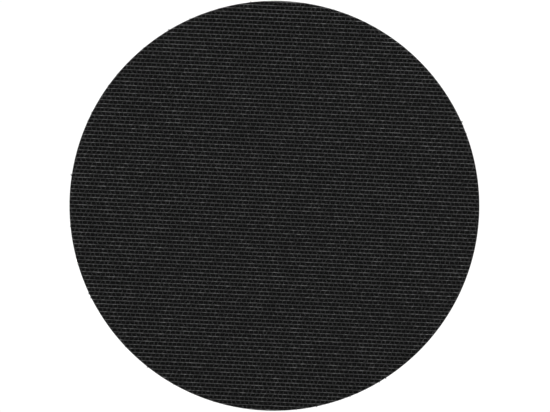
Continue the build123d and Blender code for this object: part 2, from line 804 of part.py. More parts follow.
def valve_parts():
    """The tip valve on its seat, the spring behind it, and the upright stem that tips it."""
    with BuildPart() as seat:
        lathe(lengthwise(INLET_Y), washer(SEAT_X - 1.9, SEAT_X, 3.4, 8.55), EDGE)
    save("valve_seat", seat.part)

    with BuildPart() as valve:
        lathe(
            lengthwise(INLET_Y),
            [
                (STEM_X - 1.6, 0),
                (STEM_X - 1.6, 1.1),
                (SEAT_X + 0.1, 1.1),
                (SEAT_X + 0.1, 5.4),
                (SEAT_X + 2.2, 5.4),
                (SEAT_X + 3.0, 2.4),
                (SEAT_X + 3.0, 0),
            ],
            0.15,
        )
    save("tip_valve", valve.part)

    with BuildPart() as spring:
        coil = Helix(
            pitch=1.25,
            height=3.75,
            radius=2.3,
            center=(SEAT_X + 3.35, INLET_Y, LINE_Z),
            direction=(1, 0, 0),
            cone_angle=50,
            mode=Mode.PRIVATE,
        )
        with BuildSketch(Plane(origin=coil @ 0, z_dir=coil % 0)) as wire:
            Circle(0.3)
        sweep(wire.sketch, path=coil)
    save("valve_spring", spring.part)

    with BuildPart() as bush:
        lathe(
            upright(STEM_X, INLET_Y),
            [
                (68.0, 2.05),
                (TAIL_TOP + 0.8, 2.05),
                (TAIL_TOP + 0.8, 5.6),
                (TAIL_TOP + 0.05, 5.6),
                (TAIL_TOP + 0.05, 4.55),
                (68.0, 4.55),
            ],
            0.15,
        )
        lathe(upright(STEM_X, INLET_Y), washer(71.9, 73.3, 2.0, 3.05), mode=Mode.SUBTRACT)
    save("stem_bush", bush.part)
    o_ring("stem_seal", upright(STEM_X, INLET_Y), 72.6, 2.52, 0.88)

    with BuildPart() as stem:
        lathe(
            upright(STEM_X, INLET_Y),
            [
                (LINE_Z + 1.25, 0),
                (LINE_Z + 1.9, 0.9),
                (64.6, 2.0),
                (STEM_TOP - 1.2, 2.0),
                (STEM_TOP - 0.3, 1.3),
                (STEM_TOP, 0),
            ],
        )
    save("valve_stem", stem.part)


def speed_dial():
    """The air regulator: a cross-drilled stem with a ribbed knob and a raised pointer."""
    line = crosswise(DIAL_X)
    knob_inner, knob_outer = -TAIL_HALF_WIDTH - 0.3, -TAIL_HALF_WIDTH - 6.4
    with BuildPart() as dial:
        lathe(
            line,
            [
                (knob_outer, 0),
                (knob_outer, 8.0),
                (knob_outer + 0.8, 8.8),
                (knob_inner, 8.8),
                (knob_inner, 5.0),
                (-25.4, 5.0),
                (-25.4, 3.9),
                (-23.8, 3.9),
                (-23.8, 5.0),
                (-22.8, 5.0),
                (-22.8, 3.6),
                (-21.2, 3.6),
                (-21.2, 5.0),
                (-7.0, 5.0),
                (-7.0, 0),
            ],
        )
        with Locations((DIAL_X, INLET_Y, LINE_Z)):
            Cylinder(PORT_RADIUS - 0.6, 14, rotation=(0, 90, 0), mode=Mode.SUBTRACT)
        with Locations(Plane(origin=(DIAL_X, knob_outer, LINE_Z), x_dir=(1, 0, 0), z_dir=(0, -1, 0))):
            with PolarLocations(9.3, 20):
                Cylinder(0.75, 20, mode=Mode.SUBTRACT)
            Box(2.2, 13.0, 1.6)
    save("speed_dial", dial.part)
    o_ring("dial_seal", line, -24.6, 4.42, 1.0)

    with BuildPart() as stop:
        lathe(
            upright(DIAL_X, STOP_SCREW_Y),
            [
                (LINE_Z + 4.2, 0),
                (LINE_Z + 5.0, 0.6),
                (LINE_Z + 5.5, 1.5),
                (TAIL_TOP - 0.4, 1.5),
                (TAIL_TOP - 0.4, 0),
            ],
        )
        with BuildSketch(Plane.XY.offset(TAIL_TOP - 0.4)):
            with Locations((DIAL_X, STOP_SCREW_Y)):
                RegularPolygon(0.85, 6)
        extrude(amount=-1.5, mode=Mode.SUBTRACT)
    save("dial_stop_screw", stop.part)


def muffler():
    """The exhaust muffler: a sleeve in the tail, a porous core, and a slotted cap."""
    line = lengthwise(EXHAUST_Y)
    with BuildPart() as sleeve:
        lathe(
            line,
            [
                (44.6, 6.0),
                (46.0, 6.0),
                (46.0, 8.6),
                (TAIL_END + 3.0, 8.6),
                (TAIL_END + 3.0, MUFFLER_RADIUS + 1.2),
                (TAIL_END + 0.2, MUFFLER_RADIUS + 1.2),
                (TAIL_END + 0.2, MUFFLER_RADIUS),
                (44.6, MUFFLER_RADIUS - 0.4),
            ],
            0.3,
        )
    save("muffler_sleeve", sleeve.part)

    with BuildPart() as core:
        lathe(line, washer(46.4, MUFFLER_END - 3.2, 4.0, 7.4), 0.3)
    save("muffler_core", core.part)

    with BuildPart() as cap:
        lathe(
            line,
            [
                (TAIL_END - 1.4, 7.5),
                (MUFFLER_END - 3.0, 7.5),
                (MUFFLER_END - 3.0, 0),
                (MUFFLER_END - 0.6, 0),
                (MUFFLER_END - 0.6, 9.2),
                (MUFFLER_END - 2.6, MUFFLER_RADIUS + 0.6),
                (TAIL_END + 3.1, MUFFLER_RADIUS + 0.6),
                (TAIL_END + 3.1, 8.55),
                (TAIL_END - 1.4, 8.55),
            ],
            0.3,
        )
        face = Plane(origin=(MUFFLER_END - 2, EXHAUST_Y, LINE_Z), x_dir=(0, 1, 0), z_dir=(1, 0, 0))
        with Locations(face):
            with PolarLocations(5.6, 10):
                Box(4.0, 1.5, 8, mode=Mode.SUBTRACT)
            with PolarLocations(MUFFLER_RADIUS + 1.3, 24):
                Cylinder(0.95, 30, mode=Mode.SUBTRACT)
    save("muffler_cap", cap.part)


# --- Throttle lever -----------------------------------------------------------------------------------
LEVER_LINE = [
    (59.0, 81.6),
    (46.0, 81.75),
    (34.0, 86.0),
    (19.0, 91.8),
    (2.0, 95.9),
    (-11.0, 96.7),
    (-24.0, 94.6),
]
LEVER_FRONT = -22.5


def throttle_lever():
    """The palm lever: a bent plate with a rounded front, rolled over its pin at the back."""
    with BuildPart() as lever:
        with BuildSketch(Plane.XZ.offset(-LEVER_HALF_WIDTH)):
            with BuildLine():
                Spline(*LEVER_LINE, tangents=((-1, -0.05), (-1, -0.3)))
            trace(line_width=LEVER_THICKNESS)
        extrude(amount=2 * LEVER_HALF_WIDTH)
        with BuildSketch(Plane.XY.offset(70), mode=Mode.PRIVATE) as plan:
            with BuildLine():
                Polyline((-6, LEVER_HALF_WIDTH - 1), (30, LEVER_HALF_WIDTH), (70, LEVER_HALF_WIDTH))
                Line((70, LEVER_HALF_WIDTH), (70, -LEVER_HALF_WIDTH))
                Polyline((70, -LEVER_HALF_WIDTH), (30, -LEVER_HALF_WIDTH), (-6, -LEVER_HALF_WIDTH + 1))
                ThreePointArc((-6, -LEVER_HALF_WIDTH + 1), (LEVER_FRONT, 0), (-6, LEVER_HALF_WIDTH - 1))
            make_face()
        extrude(plan.sketch, amount=40, mode=Mode.INTERSECT)
        # The plate's upper and lower faces are its two largest, and their edges are rolled.
        broad = lever.faces().sort_by(SortBy.AREA)[-2:]
        fillet(broad.edges(), 0.7)
        with Locations((PIVOT_X, 0, PIVOT_Z)):
            Cylinder(3.6, 2 * LEVER_HALF_WIDTH, rotation=(90, 0, 0))
        with Locations((PIVOT_X, 0, PIVOT_Z)):
            Cylinder(PIN_RADIUS + 0.05, 60, rotation=(90, 0, 0), mode=Mode.SUBTRACT)
    save("throttle_lever", lever.part)

    with BuildPart() as pin:
        lathe(
            crosswise(PIVOT_X, PIVOT_Z),
            [
                (-LUG_OUTER - 0.4, 0),
                (-LUG_OUTER - 0.4, PIN_RADIUS),
                (LUG_OUTER + 0.4, PIN_RADIUS),
                (LUG_OUTER + 0.4, 0),
            ],
            EDGE,
        )
    save("lever_pin", pin.part)


def main():
    os.makedirs("parts", exist_ok=True)
    sanding_pad()
    spindle_group()
    motor()
    housing()
    palm_grip()
    skirt()
    lock_ring()
    inlet_bushing()
    valve_parts()
    speed_dial()
    muffler()
    throttle_lever()


main()
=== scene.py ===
"""The looks of the palm air sander: hook tape, foam, rubber, metal and moulded surfaces, lights and camera.

Everything is in metres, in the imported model's own frame: the origin is the centre of the hook face, and +Z
runs up the pad's axis. Sizes are written in millimetres and multiplied by MM.
"""

import math

import bpy
import numpy as np
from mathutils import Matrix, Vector

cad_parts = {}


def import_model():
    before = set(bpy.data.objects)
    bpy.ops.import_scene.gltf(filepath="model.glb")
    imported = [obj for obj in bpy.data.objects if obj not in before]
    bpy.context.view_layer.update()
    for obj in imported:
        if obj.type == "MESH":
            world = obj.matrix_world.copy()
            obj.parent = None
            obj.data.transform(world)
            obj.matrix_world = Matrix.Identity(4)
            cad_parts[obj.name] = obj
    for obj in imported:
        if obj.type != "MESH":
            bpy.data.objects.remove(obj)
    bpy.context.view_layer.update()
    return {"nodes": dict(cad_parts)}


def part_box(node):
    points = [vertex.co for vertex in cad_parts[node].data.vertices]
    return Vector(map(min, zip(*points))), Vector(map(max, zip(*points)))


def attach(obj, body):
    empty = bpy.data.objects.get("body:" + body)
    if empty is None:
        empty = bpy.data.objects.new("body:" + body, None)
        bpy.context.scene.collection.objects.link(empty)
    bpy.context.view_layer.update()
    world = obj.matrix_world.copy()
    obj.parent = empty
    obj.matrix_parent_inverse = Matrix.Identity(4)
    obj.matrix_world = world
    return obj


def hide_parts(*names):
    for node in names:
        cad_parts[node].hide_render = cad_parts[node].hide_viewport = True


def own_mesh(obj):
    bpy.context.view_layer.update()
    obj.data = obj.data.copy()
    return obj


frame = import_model()
nodes = frame["nodes"]

MM = 0.001
PAD_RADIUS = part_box("pad_hook_sheet")[1].x
SHEET_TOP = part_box("pad_hook_sheet")[1].z
FOAM_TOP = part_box("pad_foam")[1].z

# The hook tape's weave
ROW_PITCH = 1.433 * MM
HOOK_PITCH = 1.638 * MM
ROW_ANGLE = math.radians(2.65)
ROW_STEPS = (0.0, 0.5, 0.8, 0.3)  # how far along each row of the repeat starts, in hook pitches
REPEAT = len(ROW_STEPS)
CLOTH_FACE = 1.25 * MM  # depth of the ground cloth behind the hook tips
NAP_RADIUS = PAD_RADIUS - 0.15 * MM  # the hooks and floats end just inside the cut edge

ROUND_STEPS = 256  # steps in a full turn of a lathed piece
GLASS_STRAND = 1.7 * MM  # width of one strand in the backing plate's weave
WAVE = math.pi / 10  # a wave texture of this scale repeats once a metre
NOISE_SPAN = (0.3, 0.7)  # nearly all of a noise texture's values lie between these


# --- Shader helpers ---------------------------------------------------------------------------------
class Surface:
    """One procedural material, with its texture nodes added step by step."""

    def __init__(self, name, colour, roughness, metallic=0.0, specular=0.5):
        self.material = bpy.data.materials.new(name)
        self.material.use_nodes = True
        self.tree = self.material.node_tree
        self.shader = self.tree.nodes["Principled BSDF"]
        self.base = colour
        self.shader.inputs["Base Color"].default_value = (*colour, 1)
        self.shader.inputs["Roughness"].default_value = roughness
        self.shader.inputs["Metallic"].default_value = metallic
        self.shader.inputs["Specular IOR Level"].default_value = specular
        coordinates = self.node("ShaderNodeTexCoord")
        self.place = coordinates.outputs["Object"]
        self.facing = coordinates.outputs["Normal"]
        self.height = None

    def node(self, kind, **settings):
        made = self.tree.nodes.new(kind)
        for key, value in settings.items():
            setattr(made, key, value)
        return made

    def link(self, source, target):
        self.tree.links.new(source, target)

    def stretched(self, scale, turn=(0, 0, 0)):
        """Object coordinates turned and scaled, for a texture that runs along one direction."""
        mapping = self.node("ShaderNodeMapping")
        mapping.inputs["Scale"].default_value = scale
        mapping.inputs["Rotation"].default_value = turn
        self.link(self.place, mapping.inputs["Vector"])
        return mapping.outputs["Vector"]

    def noise(self, scale, detail=3.0, place=None):
        made = self.node("ShaderNodeTexNoise")
        made.inputs["Scale"].default_value = scale
        made.inputs["Detail"].default_value = detail
        self.link(place or self.place, made.inputs["Vector"])
        return made.outputs["Fac"]

    def cells(self, scale, feature="F1"):
        made = self.node("ShaderNodeTexVoronoi", feature=feature)
        made.inputs["Scale"].default_value = scale
        self.link(self.place, made.inputs["Vector"])
        return made.outputs["Distance"]

    def wave(self, scale, direction="X", place=None, distortion=0.0):
        made = self.node("ShaderNodeTexWave", wave_type="BANDS", bands_direction=direction)
        made.inputs["Scale"].default_value = scale
        made.inputs["Distortion"].default_value = distortion
        self.link(place or self.place, made.inputs["Vector"])
        return made.outputs["Fac"]

    def checks(self, scale):
        made = self.node("ShaderNodeTexChecker")
        made.inputs["Scale"].default_value = scale
        self.link(self.place, made.inputs["Vector"])
        return made.outputs["Fac"]

    def part_of(self, vector, axis):
        """One number of a vector, without its sign."""
        made = self.node("ShaderNodeSeparateXYZ")
        self.link(vector, made.inputs["Vector"])
        return self.mixed(made.outputs[axis], 0, "ABSOLUTE")

    def choice(self, share, first, second):
        """The first value where share is 0, the second where it is 1."""
        made = self.node("ShaderNodeMix", data_type="FLOAT")
        for slot, value in zip(("Factor", "A", "B"), (share, first, second)):
            self.link(value, made.inputs[slot])
        return made.outputs["Result"]

    def parting_line(self):
        """The thin flash left where the two halves of a mould met, in the plane of symmetry."""
        half_width, height = 0.14 * MM, 0.09 * MM
        on_line = self.mixed(self.part_of(self.place, "Y"), half_width, "LESS_THAN")
        self.bump(on_line, height, 0.8)

    def mixed(self, first, second, operation="MULTIPLY"):
        """One number worked out from two, each a texture's output or a plain number."""
        made = self.node("ShaderNodeMath", operation=operation)
        for slot, value in enumerate((first, second)):
            if isinstance(value, (int, float)):
                made.inputs[slot].default_value = value
            else:
                self.link(value, made.inputs[slot])
        return made.outputs["Value"]

    def ramp(self, value, low, high, stops):
        """Maps a 0 to 1 value through two or more colours between low and high."""
        made = self.node("ShaderNodeValToRGB")
        steps = made.color_ramp.elements
        while len(steps) < len(stops):
            steps.new(0.5)
        for index, (step, colour) in enumerate(zip(steps, stops)):
            step.position = low + (high - low) * index / (len(stops) - 1)
            step.color = (*colour, 1)
        self.link(value, made.inputs["Fac"])
        return made.outputs["Color"]

    def colour(self, value, low, high, *stops):
        self.link(self.ramp(value, low, high, stops), self.shader.inputs["Base Color"])

    def mottled(self, scale, spread):
        """Varies the colour by a share of itself, darker and lighter, in clouds of about 1 / scale."""
        stops = [tuple(part * share for part in self.base) for share in (1 - spread, 1, 1 + spread)]
        self.colour(self.noise(scale, 4), *NOISE_SPAN, *stops)

    def rough(self, value, low, high):
        made = self.node("ShaderNodeMapRange")
        made.inputs["To Min"].default_value = low
        made.inputs["To Max"].default_value = high
        self.link(value, made.inputs["Value"])
        self.link(made.outputs["Result"], self.shader.inputs["Roughness"])

    def bump(self, value, distance, strength=1.0):
        """Adds a relief, distance deep in metres, over any given before."""
        made = self.node("ShaderNodeBump")
        made.inputs["Strength"].default_value = strength
        made.inputs["Distance"].default_value = distance
        self.link(value, made.inputs["Height"])
        if self.height:
            self.link(self.height, made.inputs["Normal"])
        self.height = made.outputs["Normal"]
        self.link(self.height, self.shader.inputs["Normal"])


def paint(material, *names):
    """Gives carried-over CAD nodes one material."""
    for name in names:
        slots = nodes[name].data.materials
        slots.clear()
        slots.append(material)


# --- Mesh helpers -----------------------------------------------------------------------------------
def piece_from(name, points, faces, material, body, sharp=40):
    """A new piece that rides a body, smooth except at edges sharper than sharp degrees."""
    mesh = bpy.data.meshes.new(name)
    mesh.from_pydata(points, [], faces)
    mesh.update()
    mesh.shade_smooth()
    mesh.set_sharp_from_angle(angle=math.radians(sharp))
    mesh.materials.append(material)
    piece = bpy.data.objects.new(name, mesh)
    bpy.context.scene.collection.objects.link(piece)
    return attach(piece, body)


def lathe(profile, steps):
    """Points and faces of a closed (radius, height) outline turned about the pad's axis."""
    count = len(profile)
    turns = np.linspace(0, 2 * math.pi, steps, endpoint=False)
    points = [(r * math.cos(t), r * math.sin(t), z) for t in turns for r, z in profile]
    faces = []
    for step in range(steps):
        here, there = step * count, (step + 1) % steps * count
        for k in range(count):
            after = (k + 1) % count
            faces.append((here + k, there + k, there + after, here + after))
    return points, faces


def strand(path, across, up, sides):
    """A closed tube round a path of points: each ring is given by its two half-width vectors."""
    points, faces = [], []
    turns = [2 * math.pi * k / sides for k in range(sides)]
    for centre, a, b in zip(path, across, up):
        points += [centre + a * math.cos(t) + b * math.sin(t) for t in turns]
    for ring in range(len(path) - 1):
        base = ring * sides
        for k in range(sides):
            after = (k + 1) % sides
            faces.append((base + k, base + after, base + sides + after, base + sides + k))
    last = (len(path) - 1) * sides
    faces.append(tuple(range(sides - 1, -1, -1)))
    faces.append(tuple(range(last, last + sides)))
    return np.array(points), faces


# --- Hook tape --------------------------------------------------------------------------------------
ALONG = np.array((math.cos(ROW_ANGLE), math.sin(ROW_ANGLE), 0.0))
ACROSS = np.array((-math.sin(ROW_ANGLE), math.cos(ROW_ANGLE), 0.0))
UP = np.array((0.0, 0.0, 1.0))


def hook_shape():
    """One woven-in filament: a stem that rises from the cloth and curls over, in the ACROSS and Z plane."""
    radius, arch = 0.125 * MM, 0.34 * MM
    bend_height = 0.52 * MM
    root, shank = 0.15 * MM, 0.12 * MM
    path = [(-arch, CLOTH_FACE + root), (-arch, bend_height + shank)]
    for angle in (150, 105, 60, 15, -40):
        turn = math.radians(angle)
        path.append((arch * math.cos(turn), bend_height - arch * math.sin(turn)))
    centres = [np.array((0.0, w, z)) for w, z in path]
    across, up = [], []
    for index in range(len(path)):
        before, after = centres[max(index - 1, 0)], centres[min(index + 1, len(path) - 1)]
        way = (after - before) / np.linalg.norm(after - before)
        side = np.array((1.0, 0.0, 0.0))
        across.append(side * radius)
        up.append(np.cross(way, side) * radius)
    return strand(centres, across, up, sides=5)


def hook_places(random):
    """Where the hooks stand: rows a pitch apart, each set along from the next as the weave repeats."""
    places = []
    slip_along, slip_across = 0.07 * MM, 0.03 * MM
    rows = int(NAP_RADIUS / ROW_PITCH) + 1
    columns = int(NAP_RADIUS / HOOK_PITCH) + 2
    for row in range(-rows, rows):
        v = (row + 0.5) * ROW_PITCH
        for column in range(-columns, columns):
            u = (column + ROW_STEPS[row % REPEAT]) * HOOK_PITCH
            u += random.normal(0, slip_along)
            if u * u + v * v < NAP_RADIUS * NAP_RADIUS:
                places.append((u, v + random.normal(0, slip_across), row))
    return places


def hooks(material):
    """The nap of hooks, in four bands of rows so that no single mesh is too large."""
    random = np.random.default_rng(20)
    shape, shape_faces = hook_shape()
    places = hook_places(random)
    lean_spread, twist_spread, shortest = 0.17, 0.28, 0.82
    bands = np.array_split(np.arange(len(places)), 4)
    made = []
    for number, band in enumerate(bands):
        points, faces = [], []
        for index in band:
            u, v, row = places[index]
            facing = 1 if row % REPEAT < REPEAT / 2 else -1
            local = shape * (1, facing, 1)
            lean = random.normal(0, lean_spread)
            twist = random.normal(0, twist_spread)
            depth = CLOTH_FACE - local[:, 2]
            x = local[:, 0] * math.cos(twist) - local[:, 1] * math.sin(twist) + lean * depth
            y = local[:, 0] * math.sin(twist) + local[:, 1] * math.cos(twist)
            z = CLOTH_FACE - depth * random.uniform(shortest, 1.0)
            start = len(points) * len(shape)
            points.append(np.outer(x + u, ALONG) + np.outer(y + v, ACROSS) + np.outer(z, UP))
            faces += [tuple(start + k for k in face)[::facing] for face in shape_faces]
        name, all_points = f"hooks_{number + 1}", np.concatenate(points).tolist()
        made.append(piece_from(name, all_points, faces, material, "pad", sharp=60))
    return made


def ribs(material):
    """The floats that run along each row and show as its light line: partly their shape, partly a painted
    sheen in their colour.
    """
    random = np.random.default_rng(21)
    rows = int(NAP_RADIUS / ROW_PITCH)
    steps_per_hook = 2
    rise, ripple, sway = 0.30, 0.06, 0.02 * MM
    half_width, swell, half_thickness = 0.128, 0.022, 0.2 * MM
    points, faces, start = [], [], 0
    for row in range(-rows, rows + 1):
        v = row * ROW_PITCH
        reach = math.sqrt(NAP_RADIUS * NAP_RADIUS - v * v)
        steps = max(int(2 * reach / (HOOK_PITCH / steps_per_hook)), 3)
        path, across, up = [], [], []
        for u in np.linspace(-reach, reach, steps + 1):
            phase = 2 * math.pi * (u / HOOK_PITCH + ROW_STEPS[row % REPEAT])
            height = CLOTH_FACE - (rise + ripple * math.cos(phase)) * MM
            path.append(ALONG * u + ACROSS * (v + random.normal(0, sway)) + UP * height)
            uneven = random.uniform(0.88, 1.12)
            across.append(ACROSS * (half_width + swell * math.cos(phase)) * MM * uneven)
            up.append(UP * half_thickness)
        row_points, row_faces = strand(path, across, up, sides=6)
        points.append(row_points)
        faces += [tuple(start + k for k in face) for face in row_faces]
        start += len(row_points)
    all_points = np.concatenate(points).tolist()
    return piece_from("row_floats", all_points, faces, material, "pad", sharp=60)


def ground_cloth(material):
    """The cloth the hooks are woven into, cut round, with its edge a little rounded by the cut."""
    face, back, edge = CLOTH_FACE, SHEET_TOP, PAD_RADIUS
    bevel, corner = 0.25 * MM, 0.07 * MM
    face_rings, back_rings = 24, 12
    outline = [(edge * k / face_rings, face) for k in range(1, face_rings)]
    outline += [(edge - bevel, face), (edge - corner, face + corner), (edge, face + bevel), (edge, back)]
    outline += [(edge * k / back_rings, back) for k in range(back_rings - 1, 0, -1)]
    points, faces = lathe(outline, ROUND_STEPS)
    count = len(outline)
    # A round cap at each end of the outline, in place of the band that would join its two ends
    faces = [quad for number, quad in enumerate(faces) if number % count != count - 1]
    faces.append(tuple(step * count for step in range(ROUND_STEPS - 1, -1, -1)))
    faces.append(tuple(step * count + count - 1 for step in range(ROUND_STEPS)))
    return piece_from("hook_cloth", points, faces, material, "pad", sharp=50)


def filament_material():
    filament = Surface("hook_filament", (0.016, 0.016, 0.016), 0.42, specular=0.28)
    filament.colour(filament.noise(700, 3), 0.3, 0.78,
                    (0.006, 0.006, 0.006), (0.017, 0.017, 0.017), (0.06, 0.06, 0.06))
    return filament.material


def float_sheen_material():
    floats = Surface("float_filament_painted_sheen", (0.06, 0.06, 0.06), 0.4, specular=0.4)
    # The floats are the hooks' black nylon coloured several times lighter: a painted sheen standing in for
    # the light caught along each row.
    floats.colour(floats.noise(800, 4), 0.25, 0.75,
                  (0.025, 0.025, 0.025), (0.06, 0.06, 0.06), (0.24, 0.24, 0.24))
    floats.bump(floats.wave(900, "DIAGONAL"), 0.03 * MM, 0.6)
    return floats.material


def cloth_material():
    cloth = Surface("ground_weave", (0.008, 0.008, 0.008), 0.9, specular=0.1)
    lengthways = cloth.stretched((1, 1, 1), (0, 0, -ROW_ANGLE))
    warp = cloth.wave(380, "X", lengthways)
    weft = cloth.wave(380, "Y", lengthways)
    weave = cloth.mixed(warp, weft)
    # Colour follows the weave's height: painted highlights where the threads cross highest, painted shade
    # between them.
    cloth.colour(weave, 0.1, 0.9, (0.003, 0.003, 0.003), (0.012, 0.012, 0.012))
    cloth.bump(weave, 0.06 * MM)
    return cloth.material


def hook_tape():
    """The pad's lowest layer: one laid sheet, with its nap of hooks and the floats of its weave."""
    filament, floats, cloth = filament_material(), float_sheen_material(), cloth_material()
    sheet = ground_cloth(cloth)
    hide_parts("pad_hook_sheet")
    nap = hooks(filament)
    rows = ribs(floats)


# --- Foam cushion -----------------------------------------------------------------------------------
def foam_material():
    skin = Surface("moulded_foam", (0.035, 0.035, 0.036), 0.8, specular=0.25)
    pores = skin.cells(1150)
    tone = skin.mixed(skin.noise(240, 4), skin.mixed(pores, 0.3), "SUBTRACT")
    skin.colour(tone, 0.1, 0.65, (0.022, 0.022, 0.023), (0.03, 0.03, 0.031), (0.037, 0.037, 0.038))
    skin.rough(skin.noise(350, 3), 0.66, 0.92)
    skin.bump(pores, 0.5 * MM, 0.9)
    skin.bump(skin.noise(300, 2), 0.2 * MM, 0.6)
    return skin.material


def foam_outline():
    """Half the cushion's section in millimetres, from the tape's edge up, over and in to the hub's well."""
    r, low, top = PAD_RADIUS / MM, SHEET_TOP / MM, FOAM_TOP / MM
    well_radius, well_floor, middle = 11.6, top - 3.0, 0.4
    rim = [(r - 0.35, low), (r - 0.1, low + 0.12), (r, low + 0.4), (r - 0.12, low + 1.1)]
    rim += [(r - 0.2, low + 2.0), (r - 0.14, low + 2.8), (r - 0.02, low + 3.3), (r, low + 3.5)]
    rim += [(r - 0.04, low + 3.7)]
    shoulder = [(r - 0.35, low + 4.05), (r - 1.0, low + 4.35), (r - 2.0, low + 5.05)]
    taper = [(r - 5.6, top - 1.25), (r - 6.0, top - 1.0), (r - 6.5, top - 0.55), (r - 7.2, top - 0.15)]
    back = [(r - 8.0, top - 0.02), (r - 20.0, top), (40.0, top), (well_radius + 0.5, top)]
    well = [(well_radius + 0.15, top - 0.1), (well_radius, top - 0.4), (well_radius, well_floor + 0.1)]
    well += [(well_radius - 0.1, well_floor), (middle, well_floor)]
    face = [(middle, low), (30.0, low)]
    return rim + shoulder + taper + back + well + face


def foam_cushion():
    """The moulded cushion, with its skin drawn in a little between the tape and the shoulder."""
    points, faces = lathe([(radius * MM, height * MM) for radius, height in foam_outline()], ROUND_STEPS)
    cushion = piece_from("foam_cushion", points, faces, foam_material(), "pad")
    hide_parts("pad_foam")


# --- Surfaces of the carried-over nodes --------------------------------------------------------------
def woven_glass():
    """Strands that cross over on the flat faces, and the plies' edges round the sides. The strands' crowns
    are coloured lighter as a painted sheen, with painted shade between them.
    """
    plate = Surface("woven_glass_plate", (0.035, 0.036, 0.038), 0.45)
    level, ply = 0.9, 0.5 * MM
    along = plate.wave(WAVE * 2 / GLASS_STRAND, "X")
    across = plate.wave(WAVE * 2 / GLASS_STRAND, "Y")
    strands = plate.choice(plate.checks(1 / GLASS_STRAND), along, across)
    plies = plate.wave(WAVE / ply, "Z", distortion=0.6)
    flat = plate.mixed(plate.part_of(plate.facing, "Z"), level, "GREATER_THAN")
    relief = plate.choice(flat, plies, strands)
    # Colour follows the relief: on the flat faces a painted sheen on each strand's crown and painted shade
    # in the dips; round the sides, the plies' own tone.
    plate.colour(relief, 0.1, 0.95, (0.015, 0.016, 0.017), (0.036, 0.037, 0.039), (0.05, 0.051, 0.054))
    plate.rough(plate.noise(180, 3), 0.34, 0.54)
    plate.bump(relief, 0.07 * MM, 0.55)
    paint(plate.material, "pad_backing_plate")


def zinc_plate():
    zinc = Surface("zinc_plate", (0.6, 0.6, 0.58), 0.36, metallic=1.0)
    zinc.colour(zinc.noise(120, 5), *NOISE_SPAN, (0.46, 0.46, 0.44), (0.66, 0.66, 0.65))
    zinc.rough(zinc.noise(500, 3), 0.28, 0.5)
    zinc.bump(zinc.noise(1400, 2), 0.02 * MM, 0.5)
    paint(zinc.material, "pad_hub_plate", "pad_spacer")


def rivet_metal():
    rivet = Surface("rivet_head", (0.78, 0.78, 0.79), 0.32, metallic=1.0)
    rivet.mottled(300, 0.12)
    rivet.rough(rivet.noise(700, 3), 0.24, 0.45)
    rivet.bump(rivet.noise(500, 3), 0.05 * MM, 0.4)
    paint(rivet.material, "pad_rivets")


def black_oxide_steel():
    oxide = Surface("black_oxide_steel", (0.06, 0.06, 0.06), 0.38, metallic=0.9)
    oxide.colour(oxide.noise(200, 4), *NOISE_SPAN, (0.035, 0.035, 0.036), (0.085, 0.083, 0.08))
    oxide.rough(oxide.noise(600, 3), 0.3, 0.5)
    paint(oxide.material, "pad_stud", "spindle", "spindle_screw", "spindle_washer")
    paint(oxide.material, "spindle_circlip", "shaft_circlip")


def ground_steel():
    ground = Surface("ground_steel", (0.74, 0.74, 0.74), 0.14, metallic=1.0)
    ground.mottled(250, 0.06)
    ground.rough(ground.noise(900, 2), 0.1, 0.2)
    paint(ground.material, "pad_bearing_inner_rings", "pad_bearing_outer_rings", "pad_bearing_cages")
    for end in ("front", "rear"):
        for part in ("inner_ring", "outer_ring", "cage"):
            paint(ground.material, f"{end}_bearing_{part}")
    paint(ground.material, "stack_dowels", "lever_pin")


def turned_steel():
    turned = Surface("turned_steel", (0.52, 0.52, 0.52), 0.34, metallic=1.0)
    turned.mottled(180, 0.12)
    cuts = turned.wave(1600, "Z")
    turned.rough(cuts, 0.26, 0.42)
    turned.bump(cuts, 0.012 * MM, 0.6)
    paint(turned.material, "balanced_crank", "rotor_key", "motor_cylinder")


def turned_aluminium():
    aluminium = Surface("turned_aluminium", (0.7, 0.7, 0.71), 0.36, metallic=1.0)
    aluminium.mottled(200, 0.08)
    cuts = aluminium.wave(1500, "X")
    aluminium.rough(cuts, 0.28, 0.44)
    aluminium.bump(cuts, 0.01 * MM, 0.6)
    paint(aluminium.material, "rotor", "front_end_plate", "rear_end_plate", "lock_ring")


def nickel_plate():
    nickel = Surface("nickel_plate", (0.66, 0.64, 0.6), 0.24, metallic=1.0)
    nickel.colour(nickel.noise(90, 4), *NOISE_SPAN, (0.6, 0.58, 0.54), (0.7, 0.69, 0.66))
    cuts = nickel.wave(1100, "X")
    nickel.rough(cuts, 0.2, 0.3)
    nickel.bump(cuts, 0.01 * MM, 0.5)
    paint(nickel.material, "inlet_bushing")
    inlet_thread(nickel.material)


def turned_brass():
    brass = Surface("turned_brass", (0.72, 0.52, 0.24), 0.28, metallic=1.0)
    brass.mottled(200, 0.12)
    brass.rough(brass.noise(500, 3), 0.2, 0.36)
    paint(brass.material, "valve_seat", "stem_bush", "tip_valve")


def stainless_steel():
    stainless = Surface("stainless_steel", (0.66, 0.66, 0.65), 0.24, metallic=1.0)
    stainless.mottled(250, 0.08)
    stainless.rough(stainless.noise(700, 3), 0.18, 0.32)
    paint(stainless.material, "valve_stem", "dial_stop_screw")
    cone_spring(stainless.material)


def brushed_lever():
    """Fine lines along the lever, over slow changes of tone."""
    lever = Surface("brushed_lever", (0.26, 0.26, 0.265), 0.42, metallic=1.0)
    brushed = lever.noise(2600, 3, lever.stretched((0.012, 1.0, 1.0)))
    tone = lever.mixed(lever.mixed(brushed, lever.noise(60, 3), "ADD"), 0.5)
    lever.colour(tone, 0.35, 0.65, (0.2, 0.2, 0.205), (0.25, 0.25, 0.255), (0.31, 0.31, 0.315))
    lever.rough(brushed, 0.38, 0.58)
    lever.bump(brushed, 0.02 * MM, 0.6)
    paint(lever.material, "throttle_lever")


